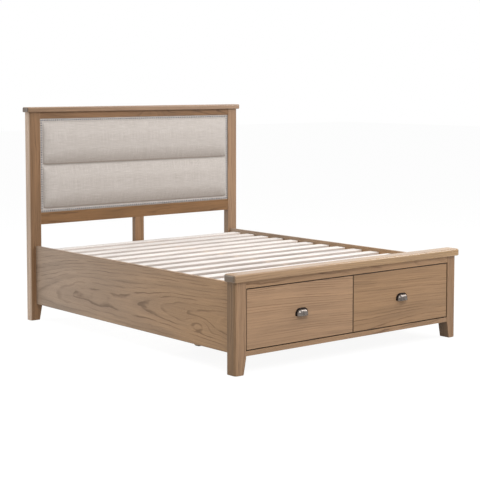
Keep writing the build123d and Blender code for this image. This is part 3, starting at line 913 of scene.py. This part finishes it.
def screw_grid():
    """Cross-recessed heads on a grid of points, each turned as the driver left it."""
    tree, given = pattern("screw_grid", Start="Vector", Step="Vector", Count="Int", Across="Vector",
                          Diameter="Float", Turn="Vector", Material="Material")
    head = add(tree, "GeometryNodeMeshCylinder",
               {"Vertices": 16, "Radius": 0.5, "Depth": head_thickness}).outputs[0]
    recess = add(tree, "GeometryNodeJoinGeometry")
    for length, width in ((recess_length, recess_width), (recess_width, recess_length)):
        bar = add(tree, "GeometryNodeMeshCube", {"Size": (length, width, head_thickness)})
        raised = add(tree, "GeometryNodeTransform",
                     {"Geometry": bar.outputs[0], "Translation": (0, 0, recess_lift)})
        tree.links.new(raised.outputs[0], recess.inputs[0])
    cut = add(tree, "GeometryNodeMeshBoolean", {"Mesh 1": head, "Mesh 2": recess.outputs[0]},
              operation="DIFFERENCE")
    line = add(tree, "GeometryNodeMeshLine",
               {"Count": given["Count"], "Start Location": given["Start"],
                "Offset": given["Step"]}).outputs[0]
    other = add(tree, "GeometryNodeTransform",
                {"Geometry": line, "Translation": given["Across"]}).outputs[0]
    both = add(tree, "GeometryNodeJoinGeometry")
    for points in (line, other):
        tree.links.new(points, both.inputs[0])
    spin = add(tree, "FunctionNodeRandomValue", {0: (0, 0, 0), 1: most_spin, "Seed": 4},
               data_type="FLOAT_VECTOR").outputs[0]
    facing = vectors(tree, "ADD", spin, given["Turn"])
    heads = add(tree, "GeometryNodeInstanceOnPoints",
                {"Points": both.outputs[0], "Instance": cut.outputs[0], "Rotation": facing,
                 "Scale": given["Diameter"]})
    close_pattern(tree, given, heads.outputs[0])
    return tree


screws = screw_grid()
zinc_bright = paint(206, 204, 198)
zinc_dull = paint(150, 148, 142)
screw_zinc = metal("screw_zinc", zinc_bright, zinc_dull, gloss=0.35)
first_low, first_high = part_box("slat_01")
last_low, last_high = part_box("slat_13")
screw_inset = 0.012
screw_sink = 0.0006
slat_step = (last_low.y - first_low.y) / (slat_count - 1)
first_middle = (first_low.y + first_high.y) / 2
slat_screws = run_pattern(
    "slat_screws", screws, Start=(first_low.x + screw_inset, first_middle, first_high.z - screw_sink),
    Step=(0.0, slat_step, 0.0), Count=slat_count,
    Across=(first_high.x - first_low.x - 2 * screw_inset, 0.0, 0.0), Diameter=0.0075,
    Turn=(0.0, 0.0, 0.0), Material=screw_zinc,
)
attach(slat_screws, "bed_frame")

# Drawer bay
# Veneered board cut to size: two sides, a partition and a back behind the footboard, which carry the
# runners.
bay_stain = (184, 156, 120)
bay_heart = (0.0, 0.3)
bay_orders = {
    "drawer_bay_side_left": (1, 2, 0), "drawer_bay_side_right": (1, 2, 0),
    "drawer_bay_partition": (1, 2, 0), "drawer_bay_back": (0, 2, 1),
}
for number, (piece, order) in enumerate(bay_orders.items()):
    material = timber(f"board_{piece}", order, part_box(piece), bay_stain, bay_heart,
                      seed=83.0 + 1.7 * number, marks=0.3, gloss=0.5, wear_and_shading=0.1)
    dress(piece, material)

# Drawer runners
# Three nested members of rolled steel strip to a side, zinc plated, with the fine lines that the
# rolls leave along them.
rolled_lines = (2600.0, 20.0, 2600.0)
for member in ("channels", "middle", "drawer"):
    for side in ("left", "right"):
        piece = f"runner_{member}_{side}"
        dress(piece, metal(f"zinc_{piece}", zinc_bright, zinc_dull, gloss=0.28, grain=rolled_lines))

# Drawer fronts
# Thick oak boards set in the opening with an even gap, with painted shade on their arrises and on
# their top and bottom edge faces, where the gaps are in shadow. The grain runs across both as if cut
# from one plank.
front_stains = {"left": (166, 133, 103), "right": (158, 125, 93)}
front_gap_shade = (84, 60, 38)
front_heart = -0.26
front_heart_step = 0.08
front_heart_depth = 0.08
for side, sign in (("left", -1), ("right", 1)):
    front = f"drawer_front_{side}"
    heart = (front_heart + front_heart_step * sign, front_heart_depth)
    material = timber(f"oak_{front}", (0, 2, 1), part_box(front), front_stains[side], heart, seed=91.3 + sign,
                      flank=front_gap_shade, lean=(0.0, 0.05, 0.04), wander=0.08, pitch=0.013, marks=0.65,
                      arris=0.35, wear_and_shading=0.8)
    dress(front, material)

# Drawer boxes
# Dovetailed boxes in sanded and sealed hardwood, the sides and back with plain straight grain, over
# a birch plywood base slid into its grooves.
box_stain = (202, 171, 132)
box_heart = (0.1, 0.02)
box_orders = {"outer_side": (1, 2, 0), "inner_side": (1, 2, 0), "back": (0, 2, 1)}
ply_stain = (214, 192, 156)
ply_heart = (0.0, 0.5)
for side in ("left", "right"):
    for number, (board, order) in enumerate(box_orders.items()):
        piece = f"drawer_{board}_{side}"
        material = timber(f"hardwood_{piece}", order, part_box(piece), box_stain, box_heart,
                          seed=101.0 + 2.9 * number + len(side), pitch=0.003, marks=0.4, gloss=0.45,
                          wear_and_shading=0.15)
        dress(piece, material)
    piece = f"drawer_base_{side}"
    dress(piece, timber(f"plywood_{piece}", (0, 1, 2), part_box(piece), ply_stain, ply_heart, seed=113.0,
                        marks=0.3, gloss=0.5, wear_and_shading=0.0))

# Cup pulls
# Cast zinc cup pulls plated in antique pewter: a hollow bowl on an arched flange, its arrises
# softened by the casting and the tumbling, held by two screws from inside the front.
merge_distance = 1e-6
flat_angle = radians(1)
arris_angle = radians(30)


def softened_copy(name, node, material, width):
    """A copy of a packed casting with its arrises rounded off."""
    mesh = nodes[node].data.copy()
    mesh.materials.clear()
    mesh.materials.append(material)
    shape = bmesh.new()
    shape.from_mesh(mesh)
    bmesh.ops.remove_doubles(shape, verts=shape.verts, dist=merge_distance)
    bmesh.ops.dissolve_limit(shape, angle_limit=flat_angle, verts=shape.verts, edges=shape.edges)
    shape.to_mesh(mesh)
    shape.free()
    mesh.polygons.foreach_set("use_smooth", [True] * len(mesh.polygons))
    piece = bpy.data.objects.new(name, mesh)
    bpy.context.scene.collection.objects.link(piece)
    bevel = piece.modifiers.new("soft_arrises", "BEVEL")
    bevel.width = width
    bevel.segments = 2
    bevel.limit_method = "ANGLE"
    bevel.angle_limit = arris_angle
    bevel.harden_normals = True
    return piece


# Painted shade darkens the pull from the root of the bowl to the flange, measured from the drawer front
casting_radius = 0.0006
pull_shade_starts = 0.014
pull_shade_ends = 0.004
flange_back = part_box("drawer_pull_left")[1].y
pull_bright = paint(138, 130, 124)
pull_dull_and_shade = paint(46, 40, 38)
pull_pewter = metal("pull_pewter", pull_bright, pull_dull_and_shade, gloss=0.18,
                    shaded_depths=(flange_back - pull_shade_starts, flange_back - pull_shade_ends))
for side in ("left", "right"):
    pull = softened_copy(f"cup_pull_{side}", f"drawer_pull_{side}", pull_pewter, casting_radius)
    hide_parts(f"drawer_pull_{side}")
    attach(pull, f"drawer_{side}")

# Pull screws
# Two pan-head machine screws to a pull, driven from inside the drawer front.
pull_screw_spacing = 0.062
pull_screw_rise = 0.012
pull_screw_proud = 0.0011
for side in ("left", "right"):
    pull_low, pull_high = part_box(f"drawer_pull_{side}")
    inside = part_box(f"drawer_front_{side}")[1].y + pull_screw_proud
    first_x = (pull_low.x + pull_high.x) / 2 - pull_screw_spacing / 2
    pull_screws = run_pattern(
        f"pull_screws_{side}", screws, Start=(first_x, inside, pull_low.z + pull_screw_rise),
        Step=(pull_screw_spacing, 0.0, 0.0), Count=2, Across=(0.0, 0.0, 0.0), Diameter=0.0085,
        Turn=(-pi / 2, 0.0, 0.0), Material=screw_zinc,
    )
    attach(pull_screws, f"drawer_{side}")

# Rail hook joints
# Pressed steel hook plates let into the ends of the rails, and the slotted plates in the posts that
# they drop into, yellow zinc plated.
plate_metal = metal("plate_zinc", paint(196, 176, 120), paint(150, 132, 92), gloss=0.3)
for plates in ("rail_hook_plates", "post_slot_plates"):
    dress(plates, plate_metal)

# Floor, light and camera
# A plain white floor and room, soft lamps over the foot end, the slats and either side, and a long
# lens a little above the headboard's cap.
floor_grey = (0.6, 0.6, 0.6, 1.0)
floor_glow = 1.15
floor_glow_share = 0.8
floor_reach = 30.0
room_level = 0.49
white = (1.0, 1.0, 1.0, 1.0)


def seen_plainly(tree):
    """1 where the camera or a mirrored ray sees this, and 0 for the light that it throws."""
    seen = add(tree, "ShaderNodeLightPath").outputs
    direct = maths(tree, "MAXIMUM", seen["Is Camera Ray"], seen["Is Glossy Ray"])
    return maths(tree, "MAXIMUM", direct, seen["Is Transmission Ray"])


def studio_floor():
    """A wide floor that shows white to the camera but keeps the bed's shadow."""
    material, tree = bare_material("floor_white")
    matt = add(tree, "ShaderNodeBsdfDiffuse", {"Color": floor_grey})
    glow = add(tree, "ShaderNodeEmission", {"Color": white, "Strength": floor_glow})
    glowing = maths(tree, "MULTIPLY", seen_plainly(tree), floor_glow_share)
    mixed = add(tree, "ShaderNodeMixShader", {0: glowing, 1: matt.outputs[0], 2: glow.outputs[0]})
    tree.links.new(mixed.outputs[0], tree.nodes["Material Output"].inputs["Surface"])
    corners = [(x * floor_reach, y * floor_reach, 0) for x, y in ((-1, -1), (1, -1), (1, 1), (-1, 1))]
    return mesh_piece("studio_floor", corners, [(0, 1, 2, 3)], material, smooth=False)


studio_floor()

world = bpy.data.worlds.new("white_room")
bpy.context.scene.world = world
world.use_nodes = True
world.node_tree.nodes.clear()
room = world.node_tree
level = maths(room, "MULTIPLY_ADD", seen_plainly(room), 1 - room_level, room_level)
sky = add(room, "ShaderNodeBackground", {"Color": white, "Strength": level})
room.links.new(sky.outputs[0], add(room, "ShaderNodeOutputWorld").inputs[0])


def soft_lamp(name, place, target, width, power):
    """A flat square lamp that looks at a point."""
    lamp = bpy.data.lights.new(name, "AREA")
    lamp.shape = "RECTANGLE"
    lamp.size = width
    lamp.size_y = width
    lamp.energy = power
    holder = bpy.data.objects.new(name, lamp)
    holder.location = place
    holder.rotation_euler = (Vector(target) - Vector(place)).to_track_quat("-Z", "Y").to_euler()
    bpy.context.scene.collection.objects.link(holder)


soft_lamp("key_lamp", place=(-2.5, -5.0, 4.6), target=(0, 0, 0.4), width=3.0, power=195)
soft_lamp("top_lamp", place=(0.0, 0.4, 4.5), target=(0, 0, 0), width=4.0, power=100)
soft_lamp("fill_lamp", place=(3.0, -1.8, 2.8), target=(0.7, 1.0, 1.0), width=2.0, power=75)
soft_lamp("side_lamp", place=(-5.0, 4.0, 2.2), target=(0, 0.3, 0.4), width=3.0, power=90)

camera = bpy.data.cameras.new("photo_camera")
camera.sensor_width = 36.0
camera.lens = 98.15
camera.shift_y = -0.1167
viewer = bpy.data.objects.new("photo_camera", camera)
viewer.location = (-5.1789, -6.3630, 1.5617)
viewer.rotation_euler = (radians(85.5), 0.0, radians(-39.39))
bpy.context.scene.collection.objects.link(viewer)
bpy.context.scene.camera = viewer
bpy.context.scene.view_settings.view_transform = "Standard"
